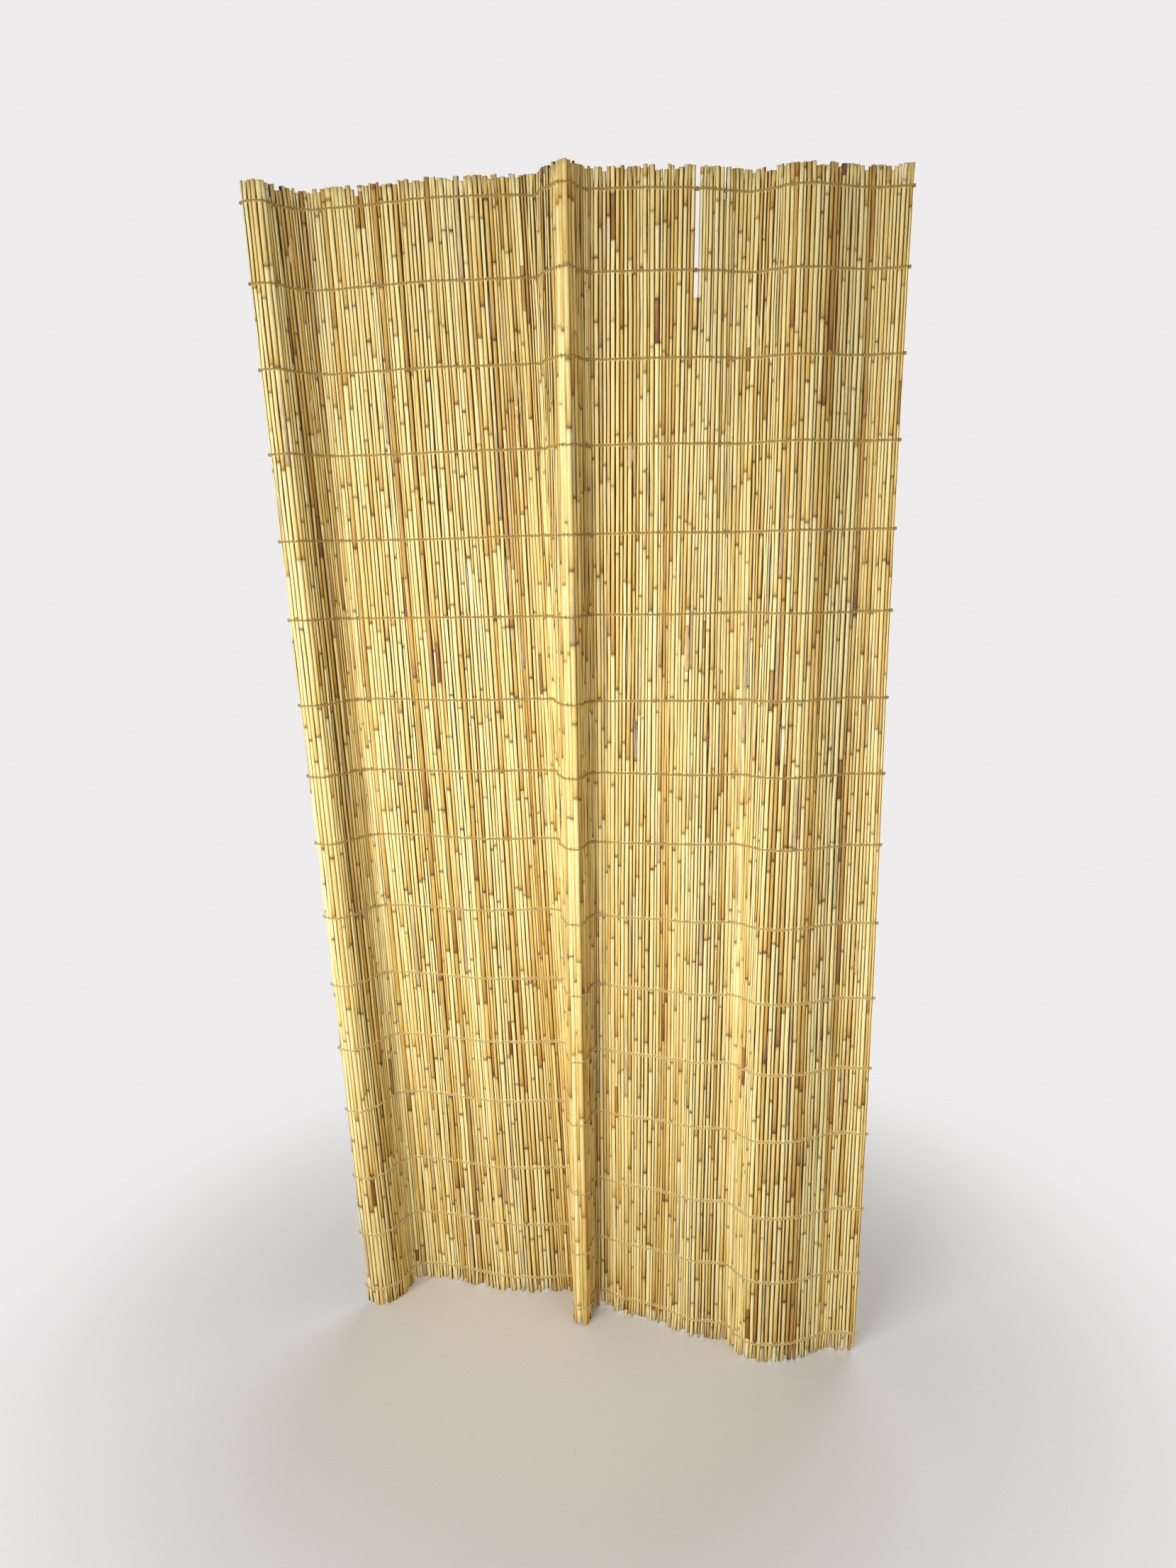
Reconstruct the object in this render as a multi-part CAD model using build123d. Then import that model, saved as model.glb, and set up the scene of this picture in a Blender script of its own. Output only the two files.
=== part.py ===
from build123d import *
import math
import os

os.makedirs("parts", exist_ok=True)

# Reed roll-up blind: upright reeds tied side by side by rows of twine, standing in loose folds.
# Millimetres. X runs along the blind, Y goes to its back and Z goes up the reeds. The origin is
# on the floor, under the middle of the folds.

# The blind as a whole
reed_length = 1803  # the tallest reed, foot to head
mat_width = 1050  # across the blind when it lies flat

# Reeds
thin_reed = 3.6  # across the thinnest reed
thick_reed = 7.75  # across the thickest reed
foot_ragged = 5  # the most that a reed stops short of the floor
head_ragged = 8  # the most that a reed stops short at its head
head_slope = 3  # how much lower the heads are trimmed at the left edge
reed_sides = 6
lap_share = 0.2  # how far a reed swells into its neighbours, which makes one wall of them
flush_share = 0.75  # reeds whose feet are cut true
size_step_share = 0.6180
foot_step_share = 0.7549
head_step_share = 0.5698

# Broken reeds: place across the blind, and height of the stump
broken_shares = ((0.038, 0.988), (0.171, 0.990), (0.690, 0.903), (0.734, 0.976))

# Slits of daylight between neighbouring reeds, each within one bay between two rows
gap_width = 1.6
gap_margin = 9  # reeds stay together this far from a row
gap_count = 28
gap_left_share = 0.20
gap_right_share = 0.86
gap_low_share = 0.45
gap_high_share = 0.75
gap_step_share = 0.6180

# Twine
twine_size = 2.2  # across the twine
twine_clearance = 0.2  # between a reed and the twine that holds it
twine_slack = 3.7  # how far the twine may stand off the reeds between its bends
near_share = 0.999  # points of a twine's line nearer than this to a reed are passed over
head_margin = 31  # from the tallest head down to the first row
foot_margin = 32  # from the floor up to the last row
row_shares = (
    0, 0.060, 0.123, 0.195, 0.258, 0.323, 0.391, 0.461, 0.524, 0.589, 0.663, 0.731, 0.803, 0.871, 0.938, 1
)

# The folds, seen from above, from the left edge to the right: points along the feet and along
# the heads, as shares of the width
foot_shares = (
    (-0.387, 0.009),
    (-0.360, 0.004),
    (-0.339, 0.030),
    (-0.319, 0.077),
    (-0.286, 0.083),
    (-0.170, 0.058),
    (-0.078, 0.063),
    (-0.047, 0.063),
    (-0.037, 0.050),
    (-0.039, 0.022),
    (-0.040, -0.008),
    (-0.033, -0.023),
    (-0.023, -0.021),
    (-0.019, -0.004),
    (-0.019, 0.016),
    (-0.013, 0.028),
    (0.001, 0.030),
    (0.031, 0.015),
    (0.076, 0.002),
    (0.167, -0.036),
    (0.202, -0.042),
    (0.214, -0.062),
    (0.233, -0.080),
    (0.271, -0.082),
    (0.308, -0.072),
    (0.341, -0.052),
    (0.394, -0.049),
)
head_shares = (
    (-0.444, -0.052),
    (-0.423, -0.053),
    (-0.406, -0.021),
    (-0.376, 0.002),
    (-0.322, -0.001),
    (-0.262, -0.008),
    (-0.203, -0.017),
    (-0.145, -0.013),
    (-0.080, -0.008),
    (-0.056, -0.004),
    (-0.048, -0.012),
    (-0.044, -0.026),
    (-0.028, -0.042),
    (-0.010, -0.061),
    (-0.001, -0.052),
    (0.003, -0.035),
    (0.013, -0.022),
    (0.040, -0.016),
    (0.096, -0.012),
    (0.197, 0.019),
    (0.238, 0.036),
    (0.291, 0.013),
    (0.331, 0.021),
    (0.386, 0.048),
    (0.444, 0.049),
)


def scatter(index, step):
    """An even scatter of values from 0 to 1, the same on every run."""
    return index * index * step % 1


def fold_line(shares, height):
    """A smooth line through points of the plan, as long as the blind is wide."""
    line = Spline([Vector(x * mat_width, y * mat_width) for x, y in shares])
    return Pos(0, 0, height) * line.scale(mat_width / line.length)


foot_line = fold_line(foot_shares, 0)
head_line = fold_line(head_shares, reed_length)

# Reeds take their places along the folds in proportion to their thickness.
reed_count = round(mat_width / ((thin_reed + thick_reed) / 2))
thickness = [
    thin_reed + (thick_reed - thin_reed) * scatter(index, size_step_share) for index in range(reed_count)
]
spacing = [(left + right) / 2 for left, right in zip(thickness, thickness[1:])]
places = [sum(spacing[:index]) / sum(spacing) for index in range(reed_count)]
fit = mat_width / sum(spacing)
radii = [size / 2 * fit * (1 + lap_share) for size in thickness]
stump = {round(place * (reed_count - 1)): height for place, height in broken_shares}
feet = [foot_line.position_at(place) for place in places]
heads = [head_line.position_at(place) for place in places]


def reed_at(index, height):
    """The middle of a reed at a height above the floor."""
    return feet[index] + (heads[index] - feet[index]) * (height / reed_length)


def reed(index):
    """One reed, from its cut foot to its cut or broken head."""
    place = places[index]
    rise = max(0, scatter(index, foot_step_share) - flush_share) / (1 - flush_share)
    drop = scatter(index, head_step_share) ** 2
    bottom = foot_ragged * rise
    top = reed_length - head_ragged * drop - head_slope * (1 - place)
    if index in stump:
        top = reed_length * stump[index]
    along = foot_line.tangent_at(place) + head_line.tangent_at(place)
    turn = math.degrees(math.atan2(along.Y, along.X))
    start = reed_at(index, bottom)
    section = Pos(start) * RegularPolygon(radii[index], reed_sides, rotation=turn)
    return Solid.extrude(section.face(), reed_at(index, top) - start)


def slit(index, bay):
    """The space of one slit, to the right of a reed and between two rows."""
    low = row_heights[bay] + gap_margin
    high = row_heights[bay + 1] - gap_margin
    start = (reed_at(index, low) + reed_at(index + 1, low)) / 2
    end = (reed_at(index, high) + reed_at(index + 1, high)) / 2
    across = reed_at(index + 1, low) - reed_at(index, low)
    turn = math.degrees(math.atan2(across.Y, across.X))
    section = Pos(start) * Rot(0, 0, turn) * Rectangle(gap_width, 2 * thick_reed)
    return Solid.extrude(section.face(), end - start)


def bends(line):
    """The fewest points of a line in the plan that keep within the twine's slack of it."""
    chord = (line[-1] - line[0]) / abs(line[-1] - line[0])
    offsets = [abs(((point - line[0]) * chord.conjugate()).imag) for point in line]
    farthest = offsets.index(max(offsets))
    if offsets[farthest] <= twine_slack:
        return [line[0], line[-1]]
    return bends(line[: farthest + 1])[:-1] + bends(line[farthest:])


def cross(first, second):
    """The area that two directions in the plan span."""
    return (first.conjugate() * second).imag


def uncrossed(line):
    """A line in the plan without the loops it makes where a fold is too tight to follow."""
    stretches = list(zip(line, line[1:]))
    for early, (start, end) in enumerate(stretches):
        for late, (after, last) in enumerate(stretches[early + 2 :], start=early + 2):
            area = cross(end - start, last - after)
            reach = cross(after - start, last - after)
            other_reach = cross(after - start, end - start)
            if area and 0 < reach / area < 1 and 0 < other_reach / area < 1:
                corner = start + (end - start) * (reach / area)
                return uncrossed(line[: early + 1] + [corner] + line[late + 1 :])
    return line


def side_line(middles, side):
    """The twine's line along one side of the reeds, snug at both edges of the blind."""
    stand_off = max(radii) + twine_clearance + twine_slack
    ahead = middles[1:] + middles[-1:]
    behind = middles[:1] + middles[:-1]
    along = [(end - start) / abs(end - start) for start, end in zip(behind, ahead)]
    line = [middle + step * side * stand_off for middle, step in zip(middles, along)]
    nearest = [min(abs(point - middle) for middle in middles) for point in line]
    line = [point for point, near in zip(line, nearest) if near > stand_off * near_share]
    left = line[0] - along[0] * (radii[0] + twine_clearance)
    right = line[-1] + along[-1] * (radii[-1] + twine_clearance)
    return uncrossed(bends([left] + line + [right]))


def twine_row(height):
    """One row of twine, drawn round the front and the back of all the reeds."""
    base = height - twine_size / 2
    middles = [reed_at(index, base) for index in range(reed_count)]
    middles = [complex(middle.X, middle.Y) for middle in middles]
    loop = side_line(middles, -1j) + side_line(middles, 1j)[::-1]
    inner = Wire.make_polygon([Vector(point.real, point.imag, base) for point in loop])
    outer = inner.offset_2d(twine_size, kind=Kind.INTERSECTION)
    return Solid.extrude(Face(outer, [inner]), Vector(0, 0, twine_size))


row_span = reed_length - head_margin - foot_margin
row_heights = [foot_margin + row_span * share for share in row_shares]

reeds = [reed(index) for index in range(reed_count)]
wall = reeds[0].fuse(*reeds[1:])
gap_bays = [bay for bay, share in enumerate(row_shares) if gap_low_share < share < gap_high_share]
slits = []
for number in range(gap_count):
    place = gap_left_share + (gap_right_share - gap_left_share) * (number * gap_step_share % 1)
    slits.append(slit(round(place * (reed_count - 2)), gap_bays[number % len(gap_bays)]))
wall = wall.cut(*slits)
export_step(wall, "parts/reed_mat.step")

for number, height in enumerate(reversed(row_heights), start=1):
    export_step(twine_row(height), f"parts/twine_row_{number:02d}.step")
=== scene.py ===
"""A mat of upright reeds tied with twine, standing in its own folds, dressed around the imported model."""

import math
import random

import bmesh
import bpy
import numpy as np
from bpy.props import FloatProperty, FloatVectorProperty, IntProperty, PointerProperty
from mathutils import Matrix, Quaternion, Vector


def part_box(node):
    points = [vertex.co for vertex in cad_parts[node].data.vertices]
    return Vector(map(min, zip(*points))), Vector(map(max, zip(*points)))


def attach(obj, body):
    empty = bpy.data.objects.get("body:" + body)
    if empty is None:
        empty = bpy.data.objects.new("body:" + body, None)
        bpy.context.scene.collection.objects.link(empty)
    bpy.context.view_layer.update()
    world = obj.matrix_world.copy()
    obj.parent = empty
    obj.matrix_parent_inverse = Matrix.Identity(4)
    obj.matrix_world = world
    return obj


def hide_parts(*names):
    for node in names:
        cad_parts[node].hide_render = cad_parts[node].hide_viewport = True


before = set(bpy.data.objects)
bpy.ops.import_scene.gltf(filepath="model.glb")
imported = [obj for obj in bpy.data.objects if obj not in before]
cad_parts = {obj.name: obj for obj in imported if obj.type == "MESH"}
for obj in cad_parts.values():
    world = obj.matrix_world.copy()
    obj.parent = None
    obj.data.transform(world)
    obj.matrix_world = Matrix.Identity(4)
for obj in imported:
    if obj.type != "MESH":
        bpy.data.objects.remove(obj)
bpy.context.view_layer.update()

bl_info = {
    "name": "Reed Mat",
    "version": (1, 0, 0),
    "blender": (4, 5, 0),
    "location": "View3D > Sidebar > Reed Mat",
    "description": "Lays single reeds, tied twine and a plain studio around the packed reed mat",
    "category": "Object",
}

BODY = "root"
WALL_NODE = "reed_mat"
ROW_NODES = sorted(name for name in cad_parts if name.startswith("twine_row_"))

# The mat's sizes and fold lines, in metres, as the part's source has them
MM = 0.001
REED_LENGTH = 1803 * MM
MAT_WIDTH = 1050 * MM
THIN_REED = 3.6 * MM
THICK_REED = 7.75 * MM
FOOT_RAGGED = 5 * MM
HEAD_RAGGED = 8 * MM
HEAD_SLOPE = 3 * MM
FLUSH_SHARE = 0.75
SIZE_STEP_SHARE = 0.6180
FOOT_STEP_SHARE = 0.7549
HEAD_STEP_SHARE = 0.5698
BROKEN_SHARES = ((0.038, 0.988), (0.171, 0.990), (0.690, 0.903), (0.734, 0.976))

GAP_WIDTH = 1.6 * MM
GAP_COUNT = 28
GAP_LEFT_SHARE = 0.20
GAP_RIGHT_SHARE = 0.86
GAP_LOW_SHARE = 0.45
GAP_HIGH_SHARE = 0.75
GAP_STEP_SHARE = 0.6180

FOOT_SHARES = (
    (-0.387, 0.009), (-0.360, 0.004), (-0.339, 0.030), (-0.319, 0.077), (-0.286, 0.083),
    (-0.170, 0.058), (-0.078, 0.063), (-0.047, 0.063), (-0.037, 0.050), (-0.039, 0.022),
    (-0.040, -0.008), (-0.033, -0.023), (-0.023, -0.021), (-0.019, -0.004), (-0.019, 0.016),
    (-0.013, 0.028), (0.001, 0.030), (0.031, 0.015), (0.076, 0.002), (0.167, -0.036),
    (0.202, -0.042), (0.214, -0.062), (0.233, -0.080), (0.271, -0.082), (0.308, -0.072),
    (0.341, -0.052), (0.394, -0.049),
)
HEAD_SHARES = (
    (-0.444, -0.052), (-0.423, -0.053), (-0.406, -0.021), (-0.376, 0.002), (-0.322, -0.001),
    (-0.262, -0.008), (-0.203, -0.017), (-0.145, -0.013), (-0.080, -0.008), (-0.056, -0.004),
    (-0.048, -0.012), (-0.044, -0.026), (-0.028, -0.042), (-0.010, -0.061), (-0.001, -0.052),
    (0.003, -0.035), (0.013, -0.022), (0.040, -0.016), (0.096, -0.012), (0.197, 0.019),
    (0.238, 0.036), (0.291, 0.013), (0.331, 0.021), (0.386, 0.048), (0.444, 0.049),
)

# How the reeds and the twine are drawn
REEDS_PER_BUNDLE = 16
STRIPS_PER_REED = 3
STRIP_LENGTH = REED_LENGTH / STRIPS_PER_REED
STEPS_PER_SPAN = 40
RING_SPACING = 0.5 * MM  # least distance between two rings of a reed
FREE_REACH = 12 * MM  # from an outer row of twine to where the reeds' ends are quite free
TWINE_SIDES = 6
TWINE_STRIPS = 8
MARKS = "reed_marks"
PLY_MAP = "ply"
BAKE_MAP = "OFBake"

# Shares of a strip, or of the whole map, in the maps for baking: empty margins, skin and cut ends
MAP_MARGIN = 0.05
SKIN_SHARE = 0.99
CUTS_SHARE = 0.02
CUT_REACH = 0.4
STRAND_START = 0.02
STRAND_REACH = 0.9

# Tones of reeds, 0 for the palest and 1 for the darkest, how often each is drawn, and the chances that
# a joint is stained or keeps its leaf
REED_TONES = (0.04, 0.18, 0.36, 0.5)
REED_CHANCES = (46, 34, 16, 4)
STAINED_CHANCE = 0.008
LEAF_CHANCE = 0.03

# Painted shade in the gaps between reeds: how dark, how often, how much of it is left at the free feet and
# heads, how much a bend of the mat lightens it, and where on a reed's side it starts and how wide it is
GAP_SHADE_TONES = (0.9, 1.05, 1.25, 1.5)
GAP_SHADE_CHANCES = (20, 36, 28, 16)
GAP_SHADE_FOOT_SHARE = 0.7
GAP_SHADE_HEAD_SHARE = 0.6
GAP_BEND_LIGHT = 12
GROOVE_START_SHARE = 0.45
GROOVE_WIDTH_SHARE = 0.5

# Rings of one joint between two nodes. Each has its share of the joint's length, its distance from that
# point and its thickness, then how much it has of the node's swell, the darker tone above the node, the
# paler tone below the next node, the scar and the clinging leaf.
JOINT_RINGS = (
    (0, 0.8 * MM, 0.98, 0, 1, 0, 1, 0),
    (0, 2.6 * MM, 1, 1, 1, 0, 0.45, 1),
    (0, 6.5 * MM, 1, 0, 0.85, 0, 0, 1),
    (0.14, 0, 1, 0, 0.5, 0, 0, 1),
    (0.4, 0, 0.99, 0, 0.1, 0, 0, 1),
    (0.75, 0, 0.99, 0, 0, 0, 0, 0.7),
    (1, -10 * MM, 1, 0, 0, 1, 0, 0),
    (1, -3.5 * MM, 1, 0.4, 0, 1, 0.25, 0),
    (1, -0.8 * MM, 0.98, 0, 0, 1, 1, 0),
)

# How much of its stray and bow a reed has at a row of twine, and of its splay at the head
TIED_STRAY_SHARE = 0.6
TIED_BOW_SHARE = 0.4
HEAD_SPLAY_SHARE = 0.6

# Waves that neighbouring reeds share: size, turn with each reed and turn with each metre of height
SWAY_WAVES = ((0.6, 0.31, 3.4), (0.4, 0.13, -5.2))

# Waves in the height of a row of twine: turn with each reed, and size
ROW_WAVES = ((0.05, 0.6), (0.13, 0.4), (0.9, 0.25))
ROW_SEED = 1000

# Cut ends: slants in degrees, least depth of the cut, and how much its hole narrows
CUT_SLANTS = (1, 1, 2, 3, 5, 8, 16)
CUT_MARGIN = 0.2 * MM
HOLE_TAPER_SHARE = 0.05

# Strands: degrees round a reed where one is drawn, its distance from the reed and its rise there in
# strand radii, and where it crosses the other one and how full it is there
WRAP_ANGLES = (-52, 0, 52)
STRAND_SEAT = 1.2
STRAND_SLANT = 0.8
CROSSING_OUT_SHARE = 0.4
CROSSING_RISE = 1.2
CROSSING_FULLNESS = 1.45

# Loose ends and knots: sizes are in thicknesses of the twine
TAIL_FULLNESS = 0.6
TAIL_BULGE = 2
TAIL_LIFT = 1.5
TAIL_STEPS = 5
KNOT_GAP = 0.2
KNOT_START = 0.1
KNOT_WIDTH = 0.55
KNOT_TURNS = 2.5
KNOT_STEPS = 8

# Strips of dry leaf: thickness, how deep and how often the edges are torn, and how they narrow
LEAF_THICKNESS = 0.25 * MM
LEAF_TEAR_SHARE = 0.25
LEAF_TEAR_TURN = 11
LEAF_TIP_SHARE = 0.15
LEAF_FOOT_SHARE = 0.3
LEAF_FOOT_REACH_SHARE = 0.25

# The heights between which the twine's tint changes, and the scale of a wave texture with one wave a unit
TINT_LOW = 0.45
TINT_HIGH = 1.0
ONE_WAVE = 2 * math.pi / 10

# The studio: place and width of each lamp, the floor and where it fades, and the camera's sensor
LAMPS = {
    "key": ((-0.95, -1.7, 1.1), 1.4),
    "fill": ((3.0, -2.4, 2.0), 3.0),
    "back": ((1.0, 3.4, 2.2), 3.0),
}
FLOOR_RADIUS = 9
FLOOR_SIDES = 64
FADE_START = 0.4
FADE_END = 1.15
SENSOR_HEIGHT = 36

# Stained lengths: number of the reed from the left, lowest and highest point, and tone
STAINS = (
    (17, 0.375, 0.440, 0.85), (21, 0.040, 0.062, 0.95), (32, 1.742, 1.790, 0.70), (72, 1.620, 1.680, 0.65),
    (107, 0.365, 0.420, 0.75), (132, 1.135, 1.175, 0.70), (143, 1.530, 1.562, 0.75),
    (153, 0.038, 0.088, 0.90), (166, 1.786, 1.803, 1.00), (174, 1.720, 1.772, 0.70),
)

# Dry leaf on reeds: number of the reed, foot, length, degrees round the reed, and how far it peels
SHEATHS = (
    (12, 1.690, 0.045, 170, 0.6 * MM), (13, 1.428, 0.055, 165, 1.0 * MM), (13, 1.484, 0.040, 130, 2.0 * MM),
    (30, 1.000, 0.060, 165, 1.0 * MM), (68, 1.490, 0.075, 120, 1.5 * MM), (68, 1.440, 0.045, 45, 9.0 * MM),
    (69, 1.462, 0.050, 60, 6.0 * MM), (110, 1.396, 0.050, 165, 1.0 * MM), (127, 1.100, 0.070, 170, 0.6 * MM),
    (135, 0.750, 0.060, 165, 0.8 * MM), (145, 1.545, 0.060, 160, 1.0 * MM),
    (179, 0.630, 0.055, 160, 0.8 * MM),
)

# Loose ends of twine: row from the head, number of the reed, and reach to the right and up
TAILS = ((11, 101, 13 * MM, 9 * MM), (11, 103, -12 * MM, 10 * MM), (1, 128, 3 * MM, 14 * MM))


def paint(red, green, blue):
    """A colour from 0 to 255 on a screen, as the linear values that Blender mixes."""
    return tuple(
        level / 12.92 if level <= 0.04045 else ((level + 0.055) / 1.055) ** 2.4
        for level in (red / 255, green / 255, blue / 255)
    )


def colour(label, description, default):
    """A colour that a user can change."""
    return FloatVectorProperty(
        name=label, description=description, subtype="COLOR", size=3, min=0, max=1, default=default
    )


def length(label, description, default):
    """A length in metres that a user can change."""
    return FloatProperty(
        name=label, description=description, unit="LENGTH", precision=5, min=0, default=default
    )


def share(label, description, default):
    """A share that a user can change."""
    return FloatProperty(
        name=label, description=description, subtype="FACTOR", min=0, soft_max=1, default=default
    )


class ReedSettings(bpy.types.PropertyGroup):
    """Sizes and colours of the reeds."""

    sides: IntProperty(name="Sides", description="Flats round each reed", min=5, default=8)
    fit: share("Fit", "Thickness of a reed as a share of the room it has in the mat", 1.10)
    swell: share("Node swell", "How far a node stands out, as a share of the reed's radius", 0.15)
    taper: share("Taper", "How much thinner a reed is at its tip than at its root", 0.16)
    loose_feet: share("Loose feet", "Thickness of a reed below the lowest row of twine", 0.76)
    loose_heads: share("Loose heads", "Thickness of a reed above the highest row of twine", 0.92)
    splay: length("Splay", "How far an end leans out of line beyond the outer rows of twine", 2.0 * MM)
    lifted: length("Lifted feet", "How far some feet stand clear of the floor", 8 * MM)
    sway: length("Sway", "How far reeds wander sideways together", 1.8 * MM)
    stray: length("Stray", "How far one reed strays from its neighbours between two rows", 0.35 * MM)
    bow: length("Bow", "How far a reed bows out of the mat between two rows of twine", 1.3 * MM)
    shortest: length("Shortest joint", "Least length of reed between two nodes", 85 * MM)
    longest: length("Longest joint", "Greatest length of reed between two nodes", 270 * MM)
    wall: share("Wall", "Wall of a cut end as a share of the reed's radius", 0.38)
    hollow: length("Hollow", "Depth of the hole in a cut end", 7 * MM)
    pale: colour("Pale", "Palest reeds", paint(252, 237, 170))
    straw: colour("Straw", "Most reeds", paint(240, 209, 127))
    golden: colour("Golden", "Sunned reeds", paint(209, 167, 80))
    tan: colour("Tan", "Old joints", paint(168, 120, 52))
    brown: colour("Brown", "Stained joints", paint(122, 78, 36))
    ring: colour("Ring", "Scar round a node", paint(88, 50, 18))
    # Colour of the painted shade in the grooves between reeds
    groove_shade: colour("Groove", "Dust between two reeds", paint(74, 46, 12))
    paper: colour("Paper", "Leaf sheath that still clings to a reed", paint(192, 168, 130))
    pith: colour("Pith", "Cut end of a reed", paint(226, 205, 152))


class TwineSettings(bpy.types.PropertyGroup):
    """Size and colours of the twine."""

    thickness: length("Thickness", "Thickness of one strand", 2.6 * MM)
    ply: length("Ply", "Length of one turn of the twine's plies", 5 * MM)
    drift: length("Drift", "How far a row wanders up and down across the mat", 1.2 * MM)
    upper: colour("Upper rows", "Twine near the head of the mat", paint(188, 156, 92))
    lower: colour("Lower rows", "Twine near the foot of the mat", paint(228, 204, 140))


class StageSettings(bpy.types.PropertyGroup):
    """Camera, light and floor."""

    place: FloatVectorProperty(
        name="Camera place", description="Where the camera stands", subtype="TRANSLATION", unit="LENGTH",
        default=(0.2051, -1.7724, 1.2887),
    )
    turn: FloatProperty(
        name="Camera turn", description="Heading of the camera, left of the Y axis", subtype="ANGLE",
        default=math.radians(6.681),
    )
    pitch: FloatProperty(
        name="Camera pitch", description="How far the camera looks down", subtype="ANGLE",
        default=math.radians(11.462),
    )
    roll: FloatProperty(
        name="Camera roll", description="How far the camera leans", subtype="ANGLE",
        default=math.radians(1.264),
    )
    lens: FloatProperty(name="Lens", description="Focal length of the camera", unit="CAMERA", default=27.02)
    floor: colour("Floor", "Pale floor", paint(242, 240, 238))
    backdrop: colour("Backdrop", "Colour behind the mat", paint(238, 236, 236))
    key_power: FloatProperty(
        name="Key light", description="Power of the large soft light", unit="POWER", default=14
    )
    fill_power: FloatProperty(
        name="Fill light", description="Power of the light opposite", unit="POWER", default=14
    )
    back_power: FloatProperty(
        name="Back light", description="Power of the light behind the mat", unit="POWER", default=70
    )
    key_spread: FloatProperty(
        name="Key spread", description="How wide the key light shines", subtype="ANGLE",
        default=math.radians(92),
    )
    sky: FloatProperty(
        name="Sky", description="Strength of the even light from all round", default=0.25, min=0
    )


class Wire:
    """An output socket of a finish's nodes. Sums on it add Math nodes."""

    def __init__(self, finish, socket):
        self.finish = finish
        self.socket = socket

    def maths(self, operation, first, second):
        return self.finish.add("ShaderNodeMath", {"operation": operation}, {0: first, 1: second})

    def __add__(self, other):
        return self.maths("ADD", self, other)

    def __radd__(self, other):
        return self.maths("ADD", other, self)

    def __sub__(self, other):
        return self.maths("SUBTRACT", self, other)

    def __rsub__(self, other):
        return self.maths("SUBTRACT", other, self)

    def __mul__(self, other):
        return self.maths("MULTIPLY", self, other)

    def __rmul__(self, other):
        return self.maths("MULTIPLY", other, self)


class Finish:
    """A node tree that grows by adding one node at a time."""

    def __init__(self, tree):
        self.tree = tree
        self.tree.nodes.clear()

    @classmethod
    def material(cls, name):
        """A new material with an empty tree, and its finish."""
        made = bpy.data.materials.new(name)
        made.use_nodes = True
        return made, cls(made.node_tree)

    def add(self, kind, settings, sockets, output=0):
        """Adds a node, sets it up, joins or fills its inputs, and gives one of its outputs."""
        node = self.tree.nodes.new(kind)
        stops = settings.pop("stops", None)
        for name, value in settings.items():
            setattr(node, name, value)
        if stops:
            self.set_stops(node.color_ramp, stops)
        for key, value in sockets.items():
            socket = node.inputs[key]
            if isinstance(value, Wire):
                self.tree.links.new(value.socket, socket)
            else:
                socket.default_value = (*value, 1) if socket.type == "RGBA" else value
        return Wire(self, node.outputs[output]) if node.outputs else None

    def set_stops(self, ramp, stops):
        """Gives a colour ramp its stops."""
        while len(ramp.elements) < len(stops):
            ramp.elements.new(1)
        for element, (position, tint) in zip(ramp.elements, stops):
            element.position = position
            element.color = (*tint, 1)

    def place(self, scale):
        """Object coordinates, stretched."""
        spot = self.add("ShaderNodeTexCoord", {}, {}, "Object")
        return self.add("ShaderNodeMapping", {}, {"Vector": spot, "Scale": scale})

    def noise(self, scale, detail=3.0):
        """Soft noise on stretched Object coordinates, from 0 to 1."""
        return self.add(
            "ShaderNodeTexNoise", {}, {"Vector": self.place(scale), "Scale": 1.0, "Detail": detail}
        )

    def between(self, value, low, high):
        """0 below low, 1 above high and smooth between."""
        return self.add(
            "ShaderNodeMapRange", {"interpolation_type": "SMOOTHSTEP"},
            {"Value": value, "From Min": low, "From Max": high},
        )

    def mix(self, factor, first, second):
        """One colour over another."""
        return self.add("ShaderNodeMix", {"data_type": "RGBA"}, {0: factor, 6: first, 7: second}, 2)

    def bump(self, height, distance, strength):
        """A normal raised by height."""
        return self.add("ShaderNodeBump", {}, {"Height": height, "Distance": distance, "Strength": strength})

    def surface(self, **sockets):
        """Ends the tree in a Principled surface."""
        named = {key.replace("_", " "): value for key, value in sockets.items()}
        shown = self.add("ShaderNodeBsdfPrincipled", {}, named)
        self.add("ShaderNodeOutputMaterial", {}, {"Surface": shown})


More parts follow.
